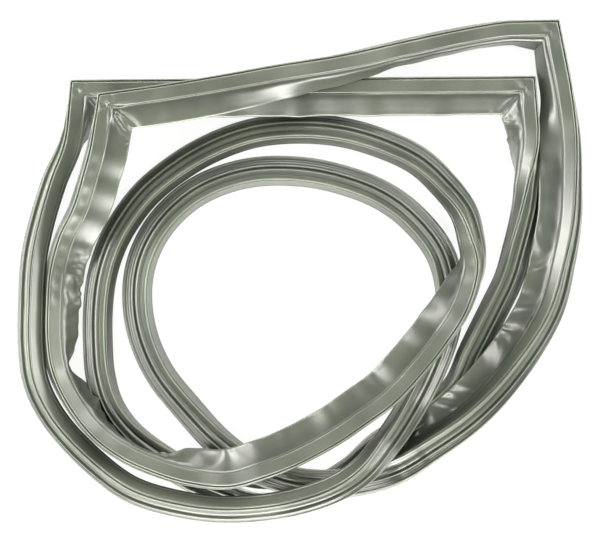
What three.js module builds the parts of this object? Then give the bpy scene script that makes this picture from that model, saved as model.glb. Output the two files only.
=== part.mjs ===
// Refrigerator door gasket, taken off its door and lying loosely coiled, in millimetres, +Z up.
// Four extruded lengths of soft PVC profile meet at four welded mitres and close into a rectangle.
// Each length has a flexible magnet strip in its pocket. Both long sides wind one and a half turns.
import * as THREE from 'three';

// Sealing face and magnet pocket
const faceWidth = 11;
const pocketDepth = 5.6;
const skinThickness = 0.9;
const magnetWidth = 8;
const magnetThickness = 2.6;
const magnetClearance = 0.4;
const lipReach = 1.6;
const lipDrop = 1;

// Bellows under the pocket
const bellowsDepth = 7.2;
const bellowsWaist = 6.6;
const bellowsBulge = 9.6;
const bellowsWall = 1;

// Base flange and the barbed dart that is pushed into the door
const flangeWidth = 12.4;
const flangeThickness = 1.4;
const dartLength = 9.4;
const dartStem = 3;
const dartBarb = 7;
const dartTip = 1.8;

// Wide soft flap along the inner edge of the sealing face
const flapReach = 19;
const flapRootReach = 3;
const flapThickness = 1;

// Welded corners and the spacing of the sections along the lengths
const weldGap = 0.3;
const cornerRun = 30;
const magnetSetback = 12;
const sectionSpacing = 28.5;
const stackClearance = 1.6;
const lyingRoll = 84;
const tuckedFlap = -85;

// Corner centres seen from above
const cornerA = [-181, 149];
const cornerB = [-158, 138];
const cornerC = [206, 198];
const cornerD = [186, 152];

// How high the front corner B rides on the strands under it, in layers
const liftAtB = 1.55;

// Routes: x, y, lift in layers of lying strands, roll and flap angle in degrees
const hingeSideRoute = [
  [...cornerA, 0, 0, -25], [-183, 124, 0, 12, -50], [-187, 101, 0, 24, -75], [-199, 69, 0, 32, -85],
  [-213, 14, 0, 36, -85], [-216, -32, 0, 36, -85], [-216, -61, 0, 36, -85], [-212, -90, 0, 36, -85],
  [-198, -118, 0, 36, -85], [-166, -152, 0.35, 38, -85], [-135, -174, 0.8, 40, -85],
  [-98, -185, 1, 41, -85], [-59, -189, 1.3, 42, -85], [-12, -184, 2.05, 42, -85],
  [25, -172, 2.15, 44, -85], [47, -157, 1.9, 50, -85], [66, -133, 1.45, 58, -85],
  [84, -104, 1.22, 64, -85], [98, -76, 0.65, 72, -85], [108, -48, 0.1, 78, -85],
  [112, -21, 0, 80, -85], [105, 10, 0, 76, -85], [85, 36, 0, 73, -85], [62, 53, 0, 72, -85],
  [31, 65, 0, 72, -85], [0, 71, 0, 72, -85], [-34, 71, 0, 72, -85], [-60, 65, 0, 72, -85],
  [-81, 55, 0, 72, -85], [-100, 39, 0, 72, -85], [-113, 21, 0, 72, -85], [-121, 0, 0, 72, -85],
  [-123, -24, 0, 72, -80], [-119, -50, 0, 70, -75], [-107, -78, 0, 68, -70],
  [-84, -107, 0, 68, -70], [-57, -134, 0.3, 78, -80], [-31, -151, 0.8, 82, -85],
  [0, -161, 1.22, 84, -85], [33, -162, 1.18, 84, -85], [71, -154, 0.4, 78, -85],
  [102, -136, 0.55, 66, 45], [136, -112, 0.62, 60, 70], [167, -80, 0.45, 52, 50],
  [199, -32, 0.12, 42, 28], [212, 12, 0, 34, 24], [218, 42, 0, 28, 20], [220, 75, 0, 22, 14],
  [220, 110, 0, 16, 0], [216, 145, 0, 8, -46], [211, 173, 0, 2, -56], [...cornerC, 0, 0, -66],
];
const topSideRoute = [
  [...cornerC, 0, 0, -66], [169, 197, 0.05, 8, -78], [123, 189, 0.3, 12, -74],
  [82, 180, 0.65, 12, -70], [33, 169, 1.1, 8, -60], [-16, 161, 1.4, 2, -42],
  [-66, 152, liftAtB, 0, -22], [-115, 144, liftAtB, 0, -12], [...cornerB, liftAtB, 0, -15],
];
const latchSideRoute = [
  [...cornerB, liftAtB, 0, -15], [-161, 120, liftAtB, 10, -6], [-164, 101, 1.45, 16, 0],
  [-171, 75, 1.1, 18, 0], [-179, 50, 0.7, 20, -6], [-191, 25, 0.3, 20, -12],
  [-198, -1, 0, 20, -20], [-200, -28, 0, 20, -28], [-200, -57, 0, 20, -38],
  [-196, -81, 0, 20, -75], [-182, -109, 0.3, 18, -48], [-163, -132, 0.75, 16, -70],
  [-142, -147, 1.05, 15, -85], [-120, -157, 1.1, 15, -80], [-91, -166, 1.2, 14, -22],
  [-58, -169, 1.6, 12, -4], [-29, -161, 1.9, 10, 2], [-6, -152, 1.95, 10, 4],
  [28, -134, 1.75, 10, 6], [50, -119, 1.65, 10, 6], [73, -102, 1.75, 10, 6],
  [98, -75, 1.87, 11, 4], [113, -56, 1.78, 13, 0], [128, -33, 1.5, 16, -14],
  [136, -12, 1.3, 20, -35], [139, 7, 1, 28, -60], [135, 25, 0.6, 40, -80],
  [127, 46, 0.3, 52, -85], [112, 64, 0.1, 60, -85], [92, 82, 0, 65, -85], [65, 95, 0, 66, -85],
  [34, 104, 0, 66, -85], [0, 107, 0, 66, -85], [-34, 104, 0, 66, -85], [-62, 95, 0, 66, -85],
  [-90, 80, 0, 66, -85], [-118, 58, 0, 66, -85], [-136, 35, 0, 66, -85], [-146, 16, 0, 66, -85],
  [-153, -7, 0, 66, -85], [-156, -32, 0, 66, -85], [-156, -61, 0, 66, -85],
  [-154, -83, 0, 68, -85], [-147, -106, 0, 72, -85], [-132, -126, 0, 78, -85],
  [-103, -147, 0, 84, -85], [-70, -165, 0, 84, -85], [-31, -176, 0, 84, -85],
  [4, -171, 0, 84, -85], [33, -156, 0, 84, -85], [58, -134, 0, 82, -85], [89, -116, 0, 76, -85],
  [120, -90, 0, 70, -85], [132, -64, 0, 68, -85], [143, -42, 0, 66, -85], [152, -24, 0, 66, -85],
  [162, -3, 0, 66, -85], [170, 24, 0, 64, -80], [177, 50, 0, 56, -75], [182, 75, 0, 40, -60],
  [188, 103, 0, 18, -40], [188, 128, 0, 4, -28], [...cornerD, 0, 0, -25],
];
const bottomSideRoute = [[...cornerD, 0, 0, -25], [...cornerA, 0, 0, -25]];

const radians = THREE.MathUtils.degToRad;

// The flap's top and bottom faces in the section plane, for its angle to the sealing face
function flapOutline(angle) {
  const root = new THREE.Vector2(-faceWidth / 2, -flapThickness / 2);
  const bend = radians(angle / 2);
  const lie = radians(angle);
  const elbow = root.clone().add(
    new THREE.Vector2(-Math.cos(bend), Math.sin(bend)).multiplyScalar(flapRootReach));
  const tip = elbow.clone().add(
    new THREE.Vector2(-Math.cos(lie), Math.sin(lie)).multiplyScalar(flapReach - flapRootReach));
  const half = flapThickness / 2;
  const elbowOut = new THREE.Vector2(Math.sin(0.75 * lie), Math.cos(0.75 * lie)).multiplyScalar(half);
  const tipOut = new THREE.Vector2(Math.sin(lie), Math.cos(lie)).multiplyScalar(half);
  return [
    elbow.clone().add(elbowOut), tip.clone().add(tipOut),
    tip.clone().sub(tipOut), elbow.clone().sub(elbowOut),
  ];
}

// The section's outer line, u towards the frame's outside and v out of the sealing face
function outerLine(flapAngle) {
  const half = faceWidth / 2;
  const fold = -pocketDepth - bellowsDepth * 0.2;
  const bulge = -pocketDepth - bellowsDepth * 0.6;
  const flangeTop = -pocketDepth - bellowsDepth;
  const flangeUnder = flangeTop - flangeThickness;
  const barb = flangeUnder - dartLength * 0.45;
  const tip = flangeUnder - dartLength;
  const side = [
    [half, -pocketDepth], [bellowsWaist / 2, fold], [bellowsBulge / 2, bulge],
    [bellowsWaist / 2, flangeTop], [flangeWidth / 2, flangeTop], [flangeWidth / 2, flangeUnder],
    [dartStem / 2, flangeUnder], [dartBarb / 2, barb], [dartTip / 2, tip],
  ];
  return [
    new THREE.Vector2(half, 0),
    new THREE.Vector2(-half, 0),
    ...flapOutline(flapAngle),
    new THREE.Vector2(-half, -flapThickness),
    ...side.map(([u, v]) => new THREE.Vector2(-u, v)),
    ...side.map(([u, v]) => new THREE.Vector2(u, v)).reverse(),
    new THREE.Vector2(half, -lipDrop - lipReach / 2),
    new THREE.Vector2(half + lipReach, -lipDrop),
  ];
}

// The magnet pocket and the bellows chamber, which run through the whole length
function hollowLines() {
  const pocketHalf = magnetWidth / 2 + magnetClearance;
  const pocketEnd = -skinThickness - magnetThickness - 2 * magnetClearance;
  const chamberTop = -pocketDepth - bellowsDepth * 0.25;
  const chamberMiddle = -pocketDepth - bellowsDepth * 0.6;
  const chamberEnd = -pocketDepth - bellowsDepth + bellowsWall / 4;
  const pocket = [
    [pocketHalf, -skinThickness], [pocketHalf, pocketEnd],
    [-pocketHalf, pocketEnd], [-pocketHalf, -skinThickness],
  ];
  const chamber = [
    [0, chamberTop], [bellowsBulge / 2 - bellowsWall * 1.6, chamberMiddle], [0, chamberEnd],
    [-bellowsBulge / 2 + bellowsWall * 1.6, chamberMiddle],
  ];
  return [pocket, chamber].map((line) => line.map(([u, v]) => new THREE.Vector2(u, v)));
}

function magnetLine() {
  const half = magnetWidth / 2;
  const front = -skinThickness - magnetClearance;
  const back = front - magnetThickness;
  return [[half, front], [-half, front], [-half, back], [half, back]]
    .map(([u, v]) => new THREE.Vector2(u, v));
}

// Height of a section point over the sealing face's centre
const heightOf = (point, roll) => point.x * Math.sin(roll) + point.y * Math.cos(roll);
const inwardOf = (point, roll) => -point.x * Math.cos(roll) + point.y * Math.sin(roll);

// The flap's points in the outer line
const flapStart = 2;
const flapCount = 4;

// How much height one strand takes when it lies on its side with its flap tucked under
const lyingHeights = outerLine(tuckedFlap).map((point) => heightOf(point, radians(lyingRoll)));
const layerHeight = Math.max(...lyingHeights) - Math.min(...lyingHeights) + stackClearance;

// One section of a side: its centre, travel direction, roll and flap angle
function stationAt(path, pose, u) {
  const t = path.getUtoTmapping(u);
  const place = path.getPoint(t);
  const travel = path.getTangent(t);
  const stance = pose.getPoint(t);
  const roll = radians(stance.y);
  const heights = outerLine(stance.z).map((point) => heightOf(point, roll));
  const bodyHeights = heights.filter((_, i) => i < flapStart || i >= flapStart + flapCount);
  const lift = Math.max(0, stance.x) * layerHeight - Math.min(...bodyHeights);
  return {
    centre: new THREE.Vector3(place.x, place.y, Math.max(lift, -Math.min(...heights))),
    travel: travel.setZ(0).normalize(),
    roll,
    flap: stance.z,
  };
}

function stationsAlong(route) {
  const path = new THREE.CatmullRomCurve3(
    route.map(([x, y]) => new THREE.Vector3(x, y, 0)), false, 'centripetal');
  const pose = new THREE.CatmullRomCurve3(
    route.map(([, , lift, roll, flap]) => new THREE.Vector3(lift, roll, flap)), false, 'catmullrom', 0.35);
  path.arcLengthDivisions = 2000;
  const length = path.getLength();
  const inner = length - 2 * cornerRun;
  const count = Math.round(inner / sectionSpacing);
  const stops = [0];
  for (let i = 0; i <= count; i++) stops.push((cornerRun + (inner * i) / count) / length);
  stops.push(1);
  return stops.map((u) => stationAt(path, pose, u));
}

// A section point in space
function placed(station, point) {
  const inward = new THREE.Vector3(-station.travel.y, station.travel.x, 0);
  return station.centre.clone()
    .addScaledVector(inward, inwardOf(point, station.roll))
    .setZ(station.centre.z + heightOf(point, station.roll));
}

// The same point slid along the side onto the mitre plane at a corner
function mitred(station, point, away, neighbourAway) {
  const normal = away.clone().sub(neighbourAway).normalize();
  const free = placed(station, point);
  const offset = free.clone().sub(station.centre).dot(normal);
  return free.addScaledVector(away, (weldGap / 2 - offset) / away.dot(normal));
}

// A closed solid from rings of points, all wound the same way, with hollows that run through
function loft(startLines, endLines, rings) {
  const ringSize = rings[0].length;
  const last = (rings.length - 1) * ringSize;
  const index = [];
  let start = 0;
  startLines.forEach((line, n) => {
    for (let i = 0; i < line.length; i++) {
      const a = start + i;
      const b = start + ((i + 1) % line.length);
      for (let near = 0; near < last; near += ringSize) {
        const far = near + ringSize;
        if (n === 0) index.push(far + a, far + b, near + b, far + a, near + b, near + a);
        else index.push(far + a, far + b, near + a, far + b, near + b, near + a);
      }
    }
    start += line.length;
  });
  for (const [a, b, c] of THREE.ShapeUtils.triangulateShape(startLines[0], startLines.slice(1))) {
    index.push(a, b, c);
  }
  for (const [a, b, c] of THREE.ShapeUtils.triangulateShape(endLines[0], endLines.slice(1))) {
    index.push(last + a, last + c, last + b);
  }
  const positions = rings.flat().flatMap((point) => point.toArray());
  const geometry = new THREE.BufferGeometry();
  geometry.setAttribute('position', new THREE.Float32BufferAttribute(positions, 3));
  geometry.setIndex(index);
  geometry.computeVertexNormals();
  return geometry;
}

// Every section's points in space, with the first and last section cut to the mitres
function ringsOf(stations, linesAt, startNeighbour, endNeighbour) {
  const end = stations.length - 1;
  const startAway = stations[0].travel;
  const endAway = stations[end].travel.clone().negate();
  return stations.map((station, k) => linesAt(station).flat().map((point) => {
    if (k === 0) return mitred(station, point, startAway, startNeighbour);
    if (k === end) return mitred(station, point, endAway, endNeighbour);
    return placed(station, point);
  }));
}

const profileLines = (station) => [outerLine(station.flap), ...hollowLines()];

function profileGeometry(stations, startNeighbour, endNeighbour) {
  const rings = ringsOf(stations, profileLines, startNeighbour, endNeighbour);
  return loft(profileLines(stations[0]), profileLines(stations[stations.length - 1]), rings);
}

// The strip ends a little short of each weld
function magnetGeometry(stations, startNeighbour, endNeighbour) {
  const lines = [magnetLine()];
  const rings = ringsOf(stations, () => lines, startNeighbour, endNeighbour);
  const end = rings.length - 1;
  const share = magnetSetback / cornerRun;
  rings[0] = rings[0].map((point, i) => point.lerp(rings[1][i], share));
  rings[end] = rings[end].map((point, i) => point.lerp(rings[end - 1][i], share));
  return loft(lines, lines, rings);
}

const profileMaterial = () => new THREE.MeshStandardMaterial({
  name: 'soft_pvc', color: 0x8d8f88, roughness: 0.38, metalness: 0 });
const magnetMaterial = () => new THREE.MeshStandardMaterial({
  name: 'flexible_magnet', color: 0x2c2723, roughness: 0.8, metalness: 0 });

// The sides in the order in which they follow each other round the frame
const sides = [
  { name: 'hinge_side', route: hingeSideRoute },
  { name: 'top_side', route: topSideRoute },
  { name: 'latch_side', route: latchSideRoute },
  { name: 'bottom_side', route: bottomSideRoute },
];
for (const side of sides) side.stations = stationsAlong(side.route);

const gasket = new THREE.Group();
sides.forEach((side, i) => {
  const before = sides[(i + sides.length - 1) % sides.length].stations;
  const after = sides[(i + 1) % sides.length].stations;
  const startNeighbour = before[before.length - 1].travel.clone().negate();
  const endNeighbour = after[0].travel;
  const profile = new THREE.Mesh(
    profileGeometry(side.stations, startNeighbour, endNeighbour), profileMaterial());
  profile.name = `${side.name}_profile`;
  const magnet = new THREE.Mesh(
    magnetGeometry(side.stations, startNeighbour, endNeighbour), magnetMaterial());
  magnet.name = `${side.name}_magnet`;
  gasket.add(profile, magnet);
});

// The origin is the middle of the gasket's outline, on the surface that it lies on
const box = new THREE.Box3().setFromObject(gasket, true);
const middle = box.getCenter(new THREE.Vector3());
gasket.position.set(-middle.x, -middle.y, -box.min.z);

export default gasket;
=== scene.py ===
# A refrigerator door gasket of soft grey PVC, coiled loosely on a pale surface, seen from above.
# The four welded lengths are lofted from one fine section along the same routes as the solids.
import math

import bpy
import numpy as np
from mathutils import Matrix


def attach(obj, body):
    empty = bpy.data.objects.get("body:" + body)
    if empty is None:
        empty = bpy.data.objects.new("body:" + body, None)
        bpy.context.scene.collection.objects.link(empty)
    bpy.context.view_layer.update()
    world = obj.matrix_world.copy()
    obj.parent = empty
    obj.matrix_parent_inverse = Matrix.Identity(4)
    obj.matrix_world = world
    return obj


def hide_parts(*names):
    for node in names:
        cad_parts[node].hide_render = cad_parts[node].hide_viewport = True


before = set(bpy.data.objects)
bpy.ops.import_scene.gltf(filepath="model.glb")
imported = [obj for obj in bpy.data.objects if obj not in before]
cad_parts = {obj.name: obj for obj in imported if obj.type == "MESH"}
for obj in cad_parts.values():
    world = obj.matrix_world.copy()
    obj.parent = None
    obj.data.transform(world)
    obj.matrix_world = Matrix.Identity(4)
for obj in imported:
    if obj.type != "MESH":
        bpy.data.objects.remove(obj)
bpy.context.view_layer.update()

MM = 0.001
PHOTO_WIDTH_MM = 492.0
CAMERA_DISTANCE = 6.0
FLOOR_WHITE = 0.9

# Painted light and shade along the section, as shares of the PVC's base colour: painted shade in grooves
# and recesses, painted light and painted highlights on rims and edges
PAINTED_SHADE, FLAP, MID, FACE, PAINTED_LIGHT, PAINTED_HIGHLIGHT = 0.55, 0.8, 1.9, 1.7, 2.6, 3.4

# Section sizes in millimetres, as in the solids
FACE_WIDTH = 11.0
POCKET_DEPTH = 5.6
LIP_REACH = 1.9
BELLOWS_DEPTH = 7.2
BELLOWS_WAIST = 6.6
BELLOWS_BULGE = 9.6
FLANGE_WIDTH = 12.4
FLANGE_THICKNESS = 1.4
DART_LENGTH = 9.4
DART_STEM = 3.0
DART_BARB = 7.0
DART_TIP = 1.8
FLAP_REACH = 19.0
FLAP_ROOT = 3.0
FLAP_THICKNESS = 0.8
FLAP_BEAD = 1.3
FLAP_STEPS = 14
WELD_GAP = 0.06
CORNER_RUN = 30.0
STEP = 2.7
LYING_ROLL = 84.0
TUCKED_FLAP = -85.0
STACK_CLEARANCE = 1.6
FLOOR_CLEARANCE = 0.05
SPLINE_SAMPLES = 60

# How far a flap that points down may prop its strand up, and its rows in the resting outline
FLAP_PUSH = 1.2
FLAP_ROWS = [14, 15]

# The flap's curl in degrees, and how far its rounded nose stands out
FLAP_CURL = 4
FLAP_NOSE = 0.45

# The face is painted darker as a strand rolls on its side, as painted shade: from this roll, over these
# degrees, by this share
SHADE_FROM = 48
SHADE_RANGE = 16
SHADE_SHARE = 0.5

# The magnet strip's section, and how many stations it stops before a corner
MAGNET_LINE = [(4, -1.3), (-4, -1.3), (-4, -3.9), (4, -3.9)]
MAGNET_SETBACK = 4

CORNER_A = (-181, 149)
CORNER_B = (-158, 138)
CORNER_C = (206, 198)
CORNER_D = (186, 152)
LIFT_AT_B = 1.55

# Routes: x, y, lift in layers, roll and flap angle in degrees, as in the solids
HINGE_SIDE = [
    (*CORNER_A, 0, 0, -25), (-183, 124, 0, 12, -50), (-187, 101, 0, 24, -75), (-199, 69, 0, 32, -85),
    (-213, 14, 0, 36, -85), (-216, -32, 0, 36, -85), (-216, -61, 0, 36, -85), (-212, -90, 0, 36, -85),
    (-198, -118, 0, 36, -85), (-166, -152, 0.35, 38, -85), (-135, -174, 0.8, 40, -85),
    (-98, -185, 1, 41, -85), (-59, -189, 1.3, 42, -85), (-12, -184, 2.05, 42, -85),
    (25, -172, 2.15, 44, -85), (47, -157, 1.9, 50, -85), (66, -133, 1.45, 58, -85),
    (84, -104, 1.22, 64, -85), (98, -76, 0.65, 72, -85), (108, -48, 0.1, 78, -85),
    (112, -21, 0, 80, -85), (105, 10, 0, 76, -85), (85, 36, 0, 73, -85), (62, 53, 0, 72, -85),
    (31, 65, 0, 72, -85), (0, 71, 0, 72, -85), (-34, 71, 0, 72, -85), (-60, 65, 0, 72, -85),
    (-81, 55, 0, 72, -85), (-100, 39, 0, 72, -85), (-113, 21, 0, 72, -85), (-121, 0, 0, 72, -85),
    (-123, -24, 0, 72, -80), (-119, -50, 0, 70, -75), (-107, -78, 0, 68, -70),
    (-84, -107, 0, 68, -70), (-57, -134, 0.3, 78, -80), (-31, -151, 0.8, 82, -85),
    (0, -161, 1.22, 84, -85), (33, -162, 1.18, 84, -85), (71, -154, 0.4, 78, -85),
    (102, -136, 0.55, 66, 45), (136, -112, 0.62, 60, 70), (167, -80, 0.45, 52, 50),
    (199, -32, 0.12, 42, 28), (212, 12, 0, 34, 24), (218, 42, 0, 28, 20), (220, 75, 0, 22, 14),
    (220, 110, 0, 16, 0), (216, 145, 0, 8, -46), (211, 173, 0, 2, -56), (*CORNER_C, 0, 0, -66),
]
TOP_SIDE = [
    (*CORNER_C, 0, 0, -66), (169, 197, 0.05, 8, -78), (123, 189, 0.3, 12, -74),
    (82, 180, 0.65, 12, -70), (33, 169, 1.1, 8, -60), (-16, 161, 1.4, 2, -42),
    (-66, 152, LIFT_AT_B, 0, -22), (-115, 144, LIFT_AT_B, 0, -12), (*CORNER_B, LIFT_AT_B, 0, -15),
]
LATCH_SIDE = [
    (*CORNER_B, LIFT_AT_B, 0, -15), (-161, 120, LIFT_AT_B, 10, -6), (-164, 101, 1.45, 16, 0),
    (-171, 75, 1.1, 18, 0), (-179, 50, 0.7, 20, -6), (-191, 25, 0.3, 20, -12),
    (-198, -1, 0, 20, -20), (-200, -28, 0, 20, -28), (-200, -57, 0, 20, -38),
    (-196, -81, 0, 20, -75), (-182, -109, 0.3, 18, -48), (-163, -132, 0.75, 16, -70),
    (-142, -147, 1.05, 15, -85), (-120, -157, 1.1, 15, -80), (-91, -166, 1.2, 14, -22),
    (-58, -169, 1.6, 12, -4), (-29, -161, 1.9, 10, 2), (-6, -152, 1.95, 10, 4),
    (28, -134, 1.75, 10, 6), (50, -119, 1.65, 10, 6), (73, -102, 1.75, 10, 6),
    (98, -75, 1.87, 11, 4), (113, -56, 1.78, 13, 0), (128, -33, 1.5, 16, -14),
    (136, -12, 1.3, 20, -35), (139, 7, 1, 28, -60), (135, 25, 0.6, 40, -80),
    (127, 46, 0.3, 52, -85), (112, 64, 0.1, 60, -85), (92, 82, 0, 65, -85), (65, 95, 0, 66, -85),
    (34, 104, 0, 66, -85), (0, 107, 0, 66, -85), (-34, 104, 0, 66, -85), (-62, 95, 0, 66, -85),
    (-90, 80, 0, 66, -85), (-118, 58, 0, 66, -85), (-136, 35, 0, 66, -85), (-146, 16, 0, 66, -85),
    (-153, -7, 0, 66, -85), (-156, -32, 0, 66, -85), (-156, -61, 0, 66, -85),
    (-154, -83, 0, 68, -85), (-147, -106, 0, 72, -85), (-132, -126, 0, 78, -85),
    (-103, -147, 0, 84, -85), (-70, -165, 0, 84, -85), (-31, -176, 0, 84, -85),
    (4, -171, 0, 84, -85), (33, -156, 0, 84, -85), (58, -134, 0, 82, -85), (89, -116, 0, 76, -85),
    (120, -90, 0, 70, -85), (132, -64, 0, 68, -85), (143, -42, 0, 66, -85), (152, -24, 0, 66, -85),
    (162, -3, 0, 66, -85), (170, 24, 0, 64, -80), (177, 50, 0, 56, -75), (182, 75, 0, 40, -60),
    (188, 103, 0, 18, -40), (188, 128, 0, 4, -28), (*CORNER_D, 0, 0, -25),
]
BOTTOM_SIDE = [(*CORNER_D, 0, 0, -25), (*CORNER_A, 0, 0, -25)]


# A smooth curve through points, with the knots of a centripetal or a uniform spline
def spline(points, spacing_power, tension, samples):
    pts = np.array(points, dtype=float)
    first = 2 * pts[0] - pts[1]
    last = 2 * pts[-1] - pts[-2]
    full = np.vstack([first, pts, last])
    out = []
    for i in range(len(pts) - 1):
        p0, p1, p2, p3 = full[i:i + 4]
        if spacing_power:
            gaps = [max(np.linalg.norm(b - a) ** spacing_power, 1e-4)
                    for a, b in ((p0, p1), (p1, p2), (p2, p3))]
            t1 = (p1 - p0) / gaps[0] - (p2 - p0) / (gaps[0] + gaps[1]) + (p2 - p1) / gaps[1]
            t2 = (p2 - p1) / gaps[1] - (p3 - p1) / (gaps[1] + gaps[2]) + (p3 - p2) / gaps[2]
            t1, t2 = t1 * gaps[1], t2 * gaps[1]
        else:
            t1, t2 = tension * (p2 - p0), tension * (p3 - p1)
        t = np.linspace(0, 1, samples, endpoint=False)[:, None]
        out.append(p1 + t1 * t + (3 * (p2 - p1) - 2 * t1 - t2) * t ** 2
                   + (2 * (p1 - p2) + t1 + t2) * t ** 3)
    out.append(pts[-1:])
    return np.vstack(out)


# Fine stations along one side: distance, place, travel direction, lift, roll and flap angle
class Side:
    def __init__(self, name, route):
        self.name = name
        rows = np.array(route, dtype=float)
        dense = spline(rows[:, :2], 0.5, 0, SPLINE_SAMPLES)
        stance = spline(rows[:, 2:], 0, 0.35, SPLINE_SAMPLES)
        gone = np.concatenate([[0], np.cumsum(np.linalg.norm(np.diff(dense, axis=0), axis=1))])
        self.length = gone[-1]
        count = int(round(self.length / STEP))
        self.along = np.linspace(0, self.length, count + 1)
        self.xy = np.stack([np.interp(self.along, gone, dense[:, k]) for k in (0, 1)], axis=1)
        self.lift, self.roll, self.flap = [
            np.interp(self.along, gone, stance[:, k]) for k in (0, 1, 2)]
        self.lift = np.maximum(self.lift, 0)
        self.roll = np.radians(self.roll)
        travel = np.gradient(self.xy, axis=0)
        self.travel = travel / np.linalg.norm(travel, axis=1)[:, None]
        self.inward = np.stack([-self.travel[:, 1], self.travel[:, 0]], axis=1)

    # Distance along the side of the station nearest to a place seen from above
    def near(self, x, y):
        return self.along[np.argmin(np.hypot(self.xy[:, 0] - x, self.xy[:, 1] - y))]


# Half of the body below the sealing face, down to the dart's tip: reach, depth and painted tone, with
# painted shade in the waists and under the flange and painted light and highlights on the bulge, flange
# rim and barb
def side_line():
    waist = BELLOWS_WAIST / 2
    bulge = BELLOWS_BULGE / 2
    rim = FLANGE_WIDTH / 2
    stem = DART_STEM / 2
    barb = DART_BARB / 2
    pocket = FACE_WIDTH / 2
    top = -POCKET_DEPTH
    low = top - BELLOWS_DEPTH
    under = low - FLANGE_THICKNESS
    tip = under - DART_LENGTH
    return [
        (pocket, top + 0.9, MID), (pocket - 0.1, top + 0.3, PAINTED_LIGHT), (pocket - 0.6, top - 0.1, MID),
        (waist + 0.6, top - 0.5, PAINTED_SHADE), (waist + 0.05, top - 1.1, PAINTED_SHADE), (waist, top - 1.6, PAINTED_SHADE),
        (waist + 0.5, top - 2.2, MID), (bulge - 0.5, top - 2.8, MID), (bulge - 0.08, top - 3.6, MID),
        (bulge, top - 4.3, MID), (bulge - 0.1, top - 5.0, MID), (bulge - 0.55, top - 5.8, MID),
        (waist + 0.45, top - 6.4, PAINTED_SHADE), (waist, low + 0.35, PAINTED_SHADE), (waist + 0.15, low + 0.05, PAINTED_SHADE),
        (rim - 0.7, low + 0.02, MID), (rim - 0.2, low - 0.15, PAINTED_LIGHT), (rim, low - 0.5, PAINTED_HIGHLIGHT),
        (rim, under + 0.4, PAINTED_HIGHLIGHT), (rim - 0.25, under + 0.08, PAINTED_LIGHT), (rim - 0.8, under, MID),
        (stem + 1.2, under - 0.1, PAINTED_SHADE), (stem + 0.6, under - 0.5, PAINTED_SHADE), (stem + 0.5, under - 1.0, PAINTED_SHADE),
        (stem + 0.6, under - 2.2, PAINTED_SHADE), (stem + 0.8, under - 2.5, MID), (stem + 0.65, under - 2.8, PAINTED_SHADE),
        (stem + 0.8, under - 4.2, PAINTED_SHADE), (stem + 1.0, under - 4.5, MID), (stem + 0.85, under - 4.8, PAINTED_SHADE),
        (stem + 1.1, under - 5.8, PAINTED_SHADE), (barb - 0.3, under - 6.3, MID), (barb, under - 6.7, PAINTED_LIGHT),
        (barb - 0.1, under - 7.1, PAINTED_HIGHLIGHT), (barb - 0.7, under - 7.8, PAINTED_HIGHLIGHT),
        (DART_TIP / 2 + 0.9, under - 8.5, PAINTED_HIGHLIGHT), (DART_TIP / 2 + 0.3, tip + 0.3, PAINTED_LIGHT),
        (DART_TIP / 2 - 0.1, tip + 0.06, PAINTED_LIGHT), (DART_TIP / 4, tip, PAINTED_LIGHT),
    ]


# The thin lip outside the sealing face, with the groove between them: a painted highlight on the lip and
# painted shade in the groove
def lip_line():
    edge = FACE_WIDTH / 2
    return [
        (edge + 0.35, -POCKET_DEPTH + 1.8, MID), (edge + LIP_REACH - 0.6, -2.5, PAINTED_LIGHT),
        (edge + LIP_REACH, -1.6, PAINTED_HIGHLIGHT), (edge + LIP_REACH - 0.05, -1.15, PAINTED_HIGHLIGHT),
        (edge + LIP_REACH - 0.35, -0.85, PAINTED_HIGHLIGHT), (edge + LIP_REACH - 0.85, -0.75, PAINTED_HIGHLIGHT),
        (edge + LIP_REACH - 1.15, -1.2, MID), (edge + 0.45, -1.9, PAINTED_SHADE),
        (edge + 0.1, -1.7, PAINTED_SHADE), (edge, -1.0, MID),
        (edge - 0.12, -0.45, PAINTED_LIGHT), (edge - 0.5, -0.12, PAINTED_LIGHT),
    ]


# The sealing face from its outer edge to the groove beside the flap, with painted shade in the groove and
# painted light on its edges
def face_line():
    edge = FACE_WIDTH / 2
    level = [(u, 0.03, FACE) for u in np.linspace(edge - 1.1, 1.1 - edge, 11)]
    return level + [
        (-edge + 0.5, -0.16, PAINTED_LIGHT), (-edge + 0.15, -0.5, PAINTED_SHADE), (-edge - 0.15, -0.52, PAINTED_SHADE),
        (-edge - 0.5, -0.2, PAINTED_LIGHT),
    ]


# The plain outline that the solids rest on, for flap angles in degrees
def resting_line(flap):
    lie, half = np.radians(flap), 0.5
    root = np.array([-FACE_WIDTH / 2, -half])
    elbow = root + FLAP_ROOT * np.array([-np.cos(lie / 2), np.sin(lie / 2)])
    tip = elbow + (FLAP_REACH - FLAP_ROOT) * np.array([-np.cos(lie), np.sin(lie)])
    out = half * np.array([np.sin(lie), np.cos(lie)])
    low = -POCKET_DEPTH - BELLOWS_DEPTH
    under = low - FLANGE_THICKNESS
    barb = under - DART_LENGTH * 0.45
    bulge = -POCKET_DEPTH - BELLOWS_DEPTH * 0.6
    sides = [(sign * u, v) for sign in (-1, 1) for u, v in (
        (FACE_WIDTH / 2, 0), (FACE_WIDTH / 2, -POCKET_DEPTH), (BELLOWS_BULGE / 2, bulge),
        (FLANGE_WIDTH / 2, low), (FLANGE_WIDTH / 2, under), (DART_BARB / 2, barb),
        (DART_TIP / 2, under - DART_LENGTH))]
    return np.array(sides + [tuple(tip + out), tuple(tip - out), (FACE_WIDTH / 2 + 1.6, -1)])


def rest_heights(flap, roll):
    line = resting_line(flap)
    return line[:, 0] * np.sin(roll) + line[:, 1] * np.cos(roll)


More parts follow.
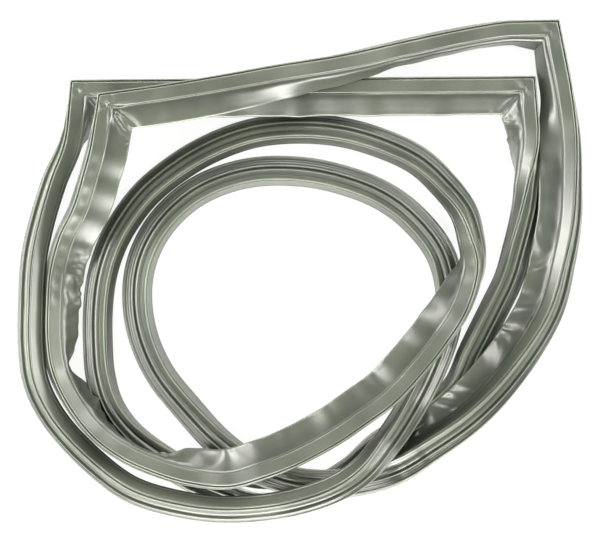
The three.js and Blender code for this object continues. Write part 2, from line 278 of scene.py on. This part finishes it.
# Height of the section's centre: the body is lifted by its layers, and a flap that points down
# props it up a little more. The solids have no limit to that, so they can stand higher
def centre_height(lift, roll, flap):
    heights = rest_heights(flap, roll)
    body = np.delete(heights, FLAP_ROWS)
    lifted = lift * LAYER_HEIGHT - body.min()
    return lifted + min(max(-heights.min() - lifted, 0), FLAP_PUSH)


LYING = rest_heights(TUCKED_FLAP, np.radians(LYING_ROLL))
LAYER_HEIGHT = LYING.max() - LYING.min() + STACK_CLEARANCE


# Smooth seeded noise along the length, built from waves, about one unit high
def waves(along, seed, longest, octaves=4):
    rng = np.random.default_rng(seed)
    total = np.zeros_like(along)
    for octave in range(octaves):
        length = longest / 1.9 ** octave
        total += 0.62 ** octave * np.sin(
            2 * np.pi * along / length * rng.uniform(0.85, 1.15) + rng.uniform(0, 2 * np.pi))
    return total / 1.6


def bump(along, centre, width):
    return np.exp(-((along - centre) / width) ** 2)


# Crumpled skin: a few warped ridged waves over length and reach, about one unit high
def crumple(along, reach, seed, size):
    rng = np.random.default_rng(seed)
    total = np.zeros((len(along), len(reach)))
    warp = size * 0.35 * np.sin(along[:, None] / size * 1.7 + reach[None, :] / size * 2.3)
    for layer in range(4):
        turn = rng.uniform(-0.9, 0.9)
        pitch = size * rng.uniform(0.8, 1.5) / 1.35 ** layer
        phase = (along[:, None] * math.cos(turn) + reach[None, :] * math.sin(turn) + warp) / pitch
        total += (1 - 2 * np.abs(np.sin(math.pi * phase + rng.uniform(0, math.pi)))) / 1.5 ** layer
    return total / 1.9


# The flap's faces for every station, as section points bent and rippled along the length
def flap_points(side, ripple, rough):
    reach = np.linspace(0, FLAP_REACH, FLAP_STEPS + 1)
    angle = np.radians(side.flap)[:, None]
    share = np.clip(reach / (2 * FLAP_ROOT), 0, 1)
    share = share * share * (3 - 2 * share)
    tilt = angle * share + np.radians(FLAP_CURL) * np.sin(np.pi * reach / FLAP_REACH)
    middle = (tilt[:, 1:] + tilt[:, :-1]) / 2
    step = FLAP_REACH / FLAP_STEPS
    u = np.concatenate([np.zeros((len(tilt), 1)), np.cumsum(-np.cos(middle) * step, axis=1)], axis=1)
    v = np.concatenate([np.zeros((len(tilt), 1)), np.cumsum(np.sin(middle) * step, axis=1)], axis=1)
    u += -FACE_WIDTH / 2 - 0.5
    v += -FLAP_THICKNESS / 2 - 0.2
    free = (reach / FLAP_REACH)[None, :]
    lift = ripple[:, None] * free ** 0.7 + rough(side.along, reach) * free ** 0.6
    u += lift * np.sin(tilt)
    v += lift * np.cos(tilt)
    half = np.full(FLAP_STEPS + 1, FLAP_THICKNESS / 2)
    half[-2:] = FLAP_BEAD / 2
    half[-3] = (FLAP_THICKNESS + FLAP_BEAD) / 4
    out_u, out_v = np.sin(tilt), np.cos(tilt)
    top = np.stack([u + half * out_u, v + half * out_v], axis=2)[:, 1:]
    under = np.stack([u - half * out_u, v - half * out_v], axis=2)[:, 1:][:, ::-1]
    nose_u = u[:, -1:] - np.cos(tilt[:, -1:]) * FLAP_NOSE
    nose_v = v[:, -1:] + np.sin(tilt[:, -1:]) * FLAP_NOSE
    nose = np.stack([nose_u, nose_v], axis=2)
    return np.concatenate([top, nose, under], axis=1)


# The whole outline of every station: face, flap, inner wall, dart, outer wall and lip, with each point's
# share of painted light and shade
def section_points(side, ripple, rough):
    count = len(side.along)

    def fixed(points):
        return np.tile(np.array(points, dtype=float)[None, :, :2], (count, 1, 1))

    inner_line = [(FACE_WIDTH / 2, -1.3, MID)] + side_line()
    face = fixed(face_line())
    face[:, :, 1] -= face_dents(side, face[0, :, 0])
    inner = fixed([(-u, v) for u, v, painted_tone in inner_line])
    flap = flap_points(side, ripple, rough)
    for part in (face, flap):
        part[:, :, 1] -= puckers(side, part[:, :, 0])
    points = np.concatenate(
        [face, flap, inner, fixed(side_line()[::-1]), fixed(lip_line())], axis=1)
    rest = [painted_tone for u, v, painted_tone in inner_line + side_line()[::-1] + lip_line()]
    painted_tones = np.tile([painted_tone for u, v, painted_tone in face_line()] + flap_painted_tones() + rest, (count, 1))
    # Painted shade: the face's tone darkens on strands rolled steeply on their side
    painted_roll_shade = np.clip((np.degrees(side.roll) - SHADE_FROM) / SHADE_RANGE, 0, 1)[:, None]
    painted_tones[:, :face.shape[1]] *= 1 - SHADE_SHARE * painted_roll_shade
    return points, painted_tones


# Painted light and shade on the flap: darker than the face at its root, lighter towards its beaded edge,
# with a painted highlight on the bead
def flap_painted_tones():
    top = list(np.linspace(FLAP, FACE, FLAP_STEPS - 1)) + [PAINTED_LIGHT]
    return top + [PAINTED_HIGHLIGHT] + top[::-1]


# Section points turned by the roll: how far inward and how high each one is from the centre
def place_points(side, points):
    sin, cos = np.sin(side.roll)[:, None], np.cos(side.roll)[:, None]
    inward = -points[:, :, 0] * cos + points[:, :, 1] * sin
    height = points[:, :, 0] * sin + points[:, :, 1] * cos
    return inward, height


# Cuts one end to the plane of its mitre, and blends the cut into the run beside it
def mitre(side, space, end, neighbour):
    away = side.travel[0] if end == 0 else -side.travel[-1]
    normal = away - neighbour
    normal /= np.linalg.norm(normal)
    free = space[end].copy()
    offset = (free[:, :2] - side.xy[end]) @ normal
    cut = free.copy()
    cut[:, :2] += away * ((WELD_GAP / 2 - offset) / (away @ normal))[:, None]
    run = int(math.ceil(CORNER_RUN / STEP))
    anchor = space[run if end == 0 else -1 - run].copy()
    for k in range(run):
        share = k / run
        row = k if end == 0 else -1 - k
        blend = cut * (1 - share) + anchor * share
        blend[:, 2] += (space[row, :, 2] - (free[:, 2] * (1 - share) + anchor[:, 2] * share))
        space[row] = blend


# Every station's section points in space, with both ends mitred and nothing below the floor
def loft_points(side, points, start_neighbour, end_neighbour):
    inward, height = place_points(side, points)
    z = np.array([centre_height(*stance) for stance in zip(side.lift, side.roll, side.flap)])
    space = np.empty(points.shape[:2] + (3,))
    space[:, :, :2] = side.xy[:, None] + side.inward[:, None] * inward[:, :, None]
    space[:, :, 2] = z[:, None] + height
    mitre(side, space, 0, start_neighbour)
    mitre(side, space, -1, end_neighbour)
    space[:, :, 2] = np.maximum(space[:, :, 2], FLOOR_CLEARANCE)
    return space


def mesh_piece(name, space, material, painted_tones=None):
    rings, size = space.shape[:2]
    verts = (space.reshape(-1, 3) * MM).tolist()
    faces = []
    for k in range(rings - 1):
        near, far = k * size, (k + 1) * size
        for i in range(size):
            j = (i + 1) % size
            faces.append((far + i, far + j, near + j, near + i))
    faces.append(tuple(range(size)))
    faces.append(tuple(reversed(range((rings - 1) * size, rings * size))))
    mesh = bpy.data.meshes.new(name)
    mesh.from_pydata(verts, [], faces)
    mesh.update()
    mesh.shade_smooth()
    mesh.set_sharp_from_angle(angle=math.radians(70))
    # Each point carries its share of painted light and shade as an attribute
    if painted_tones is not None:
        painted_tone = mesh.attributes.new("painted_tone", "FLOAT", "POINT")
        painted_tone.data.foreach_set("value", painted_tones.astype(np.float32).ravel())
    piece = bpy.data.objects.new(name, mesh)
    bpy.context.scene.collection.objects.link(piece)
    piece.data.materials.append(material)
    return piece


# A noise texture in the object's own coordinates
def noise(tree, scale, detail):
    where = tree.nodes.new("ShaderNodeTexCoord")
    made = tree.nodes.new("ShaderNodeTexNoise")
    made.inputs["Scale"].default_value = scale
    made.inputs["Detail"].default_value = detail
    tree.links.new(where.outputs["Object"], made.inputs["Vector"])
    return made.outputs["Fac"]


# Semi-gloss flexible PVC: slight cloudiness in colour, fine drawn skin and a soft orange-peel, with its
# base colour multiplied by the section's painted light and shade
def pvc_material():
    mat = bpy.data.materials.new("soft_pvc")
    mat.use_nodes = True
    tree = mat.node_tree
    shader = tree.nodes["Principled BSDF"]
    shader.inputs["IOR"].default_value = 1.8
    ramp = tree.nodes.new("ShaderNodeValToRGB")
    ramp.color_ramp.elements[0].position = 0.35
    ramp.color_ramp.elements[0].color = (0.021, 0.0245, 0.0185, 1)
    ramp.color_ramp.elements[1].position = 0.68
    ramp.color_ramp.elements[1].color = (0.036, 0.041, 0.030, 1)
    tree.links.new(noise(tree, 22, 4), ramp.inputs["Fac"])
    # The base colour is multiplied by the painted light and shade shares of the section
    painted_tone = tree.nodes.new("ShaderNodeAttribute")
    painted_tone.attribute_name = "painted_tone"
    toned = tree.nodes.new("ShaderNodeVectorMath")
    toned.operation = "MULTIPLY"
    tree.links.new(ramp.outputs["Color"], toned.inputs[0])
    tree.links.new(painted_tone.outputs["Fac"], toned.inputs[1])
    tree.links.new(toned.outputs["Vector"], shader.inputs["Base Color"])
    spread = tree.nodes.new("ShaderNodeMapRange")
    spread.inputs["To Min"].default_value = 0.28
    spread.inputs["To Max"].default_value = 0.42
    tree.links.new(noise(tree, 60, 3), spread.inputs["Value"])
    tree.links.new(spread.outputs["Result"], shader.inputs["Roughness"])
    relief = tree.nodes.new("ShaderNodeBump")
    relief.inputs["Strength"].default_value = 0.12
    relief.inputs["Distance"].default_value = 0.0003
    tree.links.new(noise(tree, 420, 2), relief.inputs["Height"])
    tree.links.new(relief.outputs["Normal"], shader.inputs["Normal"])
    return mat


# Dull dark flexible magnet
def magnet_material():
    mat = bpy.data.materials.new("flexible_magnet")
    mat.use_nodes = True
    tree = mat.node_tree
    shader = tree.nodes["Principled BSDF"]
    shader.inputs["Roughness"].default_value = 0.75
    ramp = tree.nodes.new("ShaderNodeValToRGB")
    ramp.color_ramp.elements[0].color = (0.018, 0.015, 0.013, 1)
    ramp.color_ramp.elements[1].color = (0.04, 0.034, 0.03, 1)
    tree.links.new(noise(tree, 600, 2), ramp.inputs["Fac"])
    tree.links.new(ramp.outputs["Color"], shader.inputs["Base Color"])
    return mat


SIDES = [Side("hinge_side", HINGE_SIDE), Side("top_side", TOP_SIDE),
         Side("latch_side", LATCH_SIDE), Side("bottom_side", BOTTOM_SIDE)]

# Where a side's flap waves gently: side, x, y, half length, height and wave length
RIPPLES = [
    ("latch_side", 60, -110, 95, 1.9, 56), ("latch_side", -172, 75, 45, 1.4, 44),
    ("latch_side", -196, -30, 45, 1.2, 26), ("latch_side", -182, -110, 30, 1.6, 24),
    ("hinge_side", 218, 60, 60, 1.4, 46), ("hinge_side", 180, -60, 90, 1.2, 48),
    ("bottom_side", 0, 150, 160, 1.3, 62), ("top_side", 40, 170, 140, 1.0, 66),
]

# Where a side's flap is crumpled: side, x, y, half length, height and crease spacing
CRUMPLES = [
    ("latch_side", -196, -10, 34, 1.5, 13), ("latch_side", -184, -104, 36, 2.4, 20),
    ("latch_side", -95, -164, 34, 2.4, 24), ("latch_side", 188, 118, 30, 1.8, 16),
    ("hinge_side", 214, 15, 30, 1.8, 23), ("hinge_side", 180, -62, 30, 2.2, 27),
    ("hinge_side", 125, -118, 44, 2.3, 27), ("hinge_side", -184, 128, 26, 1.6, 17),
    ("bottom_side", -160, 149, 26, 1.6, 15), ("latch_side", -160, 128, 22, 0.9, 13),
]

# How deep the weld puckers each end of a side, in millimetres: start and end
PUCKERS = {"hinge_side": (1.0, 0.5), "top_side": (0.5, 1.4),
           "latch_side": (1.8, 1.0), "bottom_side": (0.8, 1.0)}


def flap_ripple(side, seed):
    total = 0.3 * waves(side.along, seed, 120)
    for i, (name, x, y, width, height, length) in enumerate(RIPPLES):
        if name == side.name:
            here = bump(side.along, side.near(x, y), width)
            total += here * height * waves(side.along, seed + 7 * i, length, 2)
    return total


def flap_crumples(side, seed):
    def rough(along, reach):
        total = np.zeros((len(along), len(reach)))
        for i, (name, x, y, width, height, size) in enumerate(CRUMPLES):
            if name == side.name:
                here = bump(along, side.near(x, y), width)
                total += here[:, None] * height * crumple(along, reach, seed + 5 * i, size)
        return total
    return rough


# The row of oval dents in the face beside corner B, where the strip's blocks show through
def face_dents(side, across):
    dents = np.zeros((len(side.along), len(across)))
    if side.name == "latch_side":
        pitch, half_width, half_length, depth = 12.8, 3.1, 4.4, 0.42
        centre = side.near(-168, 88)
        while centre < side.near(-200, -30):
            oval = ((side.along[:, None] - centre) / half_length) ** 2 + (across / half_width) ** 2
            dents += depth * np.exp(-oval ** 2)
            centre += pitch
    return dents


# Star-shaped puckers round the inner end of the mitre
def puckers(side, across):
    total = np.zeros(across.shape)
    for depth, distance in zip(PUCKERS[side.name], (side.along, side.length - side.along)):
        run = distance[:, None] + 1
        off = across + FACE_WIDTH / 2 - 1
        far = np.hypot(run, off)
        rays = 0.5 + 0.5 * np.cos(7 * np.arctan2(off, run) + 0.6)
        total += depth * rays ** 2 * (far / 6) * np.exp(1 - far / 6)
    return total


def make_gasket():
    pvc = pvc_material()
    magnet = magnet_material()
    for i, side in enumerate(SIDES):
        before, after = SIDES[i - 1], SIDES[(i + 1) % len(SIDES)]
        ends = -before.travel[-1], after.travel[0]
        points, painted_tones = section_points(side, flap_ripple(side, 11 + i), flap_crumples(side, 31 + i))
        skin = mesh_piece(f"{side.name}_skin", loft_points(side, points, *ends), pvc, painted_tones)
        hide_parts(f"{side.name}_profile")
        core = np.tile(np.array(MAGNET_LINE)[None], (len(side.along), 1, 1))
        rings = loft_points(side, core, *ends)[MAGNET_SETBACK:-MAGNET_SETBACK]
        strip = mesh_piece(f"{side.name}_strip", rings, magnet)
        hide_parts(f"{side.name}_magnet")
        for piece in (skin, strip):
            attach(piece, "root")


# A pale floor that the camera sees as white, with only a trace of the gasket's shadow
def make_floor():
    mat = bpy.data.materials.new("pale_floor")
    mat.use_nodes = True
    tree = mat.node_tree
    shader = tree.nodes["Principled BSDF"]
    shader.inputs["Base Color"].default_value = (0.82, 0.82, 0.8, 1)
    shader.inputs["Roughness"].default_value = 0.7
    white = tree.nodes.new("ShaderNodeEmission")
    white.inputs["Strength"].default_value = 1.0
    seen = tree.nodes.new("ShaderNodeLightPath")
    share = tree.nodes.new("ShaderNodeMath")
    share.operation = "MULTIPLY"
    share.inputs[1].default_value = FLOOR_WHITE
    tree.links.new(seen.outputs["Is Camera Ray"], share.inputs[0])
    mix = tree.nodes.new("ShaderNodeMixShader")
    tree.links.new(share.outputs["Value"], mix.inputs["Fac"])
    tree.links.new(shader.outputs["BSDF"], mix.inputs[1])
    tree.links.new(white.outputs["Emission"], mix.inputs[2])
    tree.links.new(mix.outputs["Shader"], tree.nodes["Material Output"].inputs["Surface"])
    bpy.ops.mesh.primitive_plane_add(size=8, location=(0, 0, -0.0002))
    floor = bpy.context.object
    floor.name = "floor"
    floor.data.materials.append(mat)


# A softbox that faces the gasket: azimuth and elevation in degrees, size in metres
def softbox(name, azimuth, elevation, size, radiance, distance=1.7):
    data = bpy.data.lights.new(name, "AREA")
    data.shape = "RECTANGLE"
    data.size, data.size_y = size
    data.energy = radiance * math.pi * size[0] * size[1]
    data.color = (1, 0.99, 0.945)
    lamp = bpy.data.objects.new(name, data)
    flat = math.cos(math.radians(elevation))
    lamp.location = (distance * flat * math.cos(math.radians(azimuth)),
                     distance * flat * math.sin(math.radians(azimuth)),
                     distance * math.sin(math.radians(elevation)))
    lamp.rotation_euler = (math.radians(90 - elevation), 0, math.radians(azimuth + 90))
    bpy.context.scene.collection.objects.link(lamp)


# Softboxes stand low all round, so that ridges shine and faces that look straight up stay dark
def light_scene():
    world = bpy.data.worlds.new("studio")
    bpy.context.scene.world = world
    world.use_nodes = True
    tree = world.node_tree
    where = tree.nodes.new("ShaderNodeTexCoord")
    split = tree.nodes.new("ShaderNodeSeparateXYZ")
    ramp = tree.nodes.new("ShaderNodeValToRGB")
    ramp.color_ramp.elements[0].position = 0.15
    ramp.color_ramp.elements[0].color = (0.9, 0.9, 0.9, 1)
    ramp.color_ramp.elements[1].position = 0.85
    ramp.color_ramp.elements[1].color = (0.12, 0.12, 0.12, 1)
    tree.links.new(where.outputs["Generated"], split.inputs["Vector"])
    tree.links.new(split.outputs["Z"], ramp.inputs["Fac"])
    tree.links.new(ramp.outputs["Color"], tree.nodes["Background"].inputs["Color"])
    tree.nodes["Background"].inputs["Strength"].default_value = 0.6
    softbox("left_softbox", 172, 34, (1.2, 0.6), 18)
    softbox("right_softbox", 8, 32, (1.0, 0.6), 15)
    softbox("low_softbox", -92, 19, (1.9, 0.9), 17)
    softbox("high_softbox", 95, 38, (1.2, 0.4), 14)
    softbox("left_window", 215, 56, (0.8, 0.45), 14)
    softbox("right_window", 40, 56, (0.8, 0.45), 13)


# Straight above and far away, so that the picture is nearly flat
def make_camera():
    data = bpy.data.cameras.new("camera")
    data.sensor_width = 36
    data.lens = data.sensor_width * CAMERA_DISTANCE / (PHOTO_WIDTH_MM * MM)
    data.clip_end = 30
    camera = bpy.data.objects.new("camera", data)
    camera.location = (0, 0, CAMERA_DISTANCE)
    bpy.context.scene.collection.objects.link(camera)
    bpy.context.scene.camera = camera


bpy.context.scene.view_settings.view_transform = "Standard"
make_camera()
light_scene()
make_floor()
make_gasket()
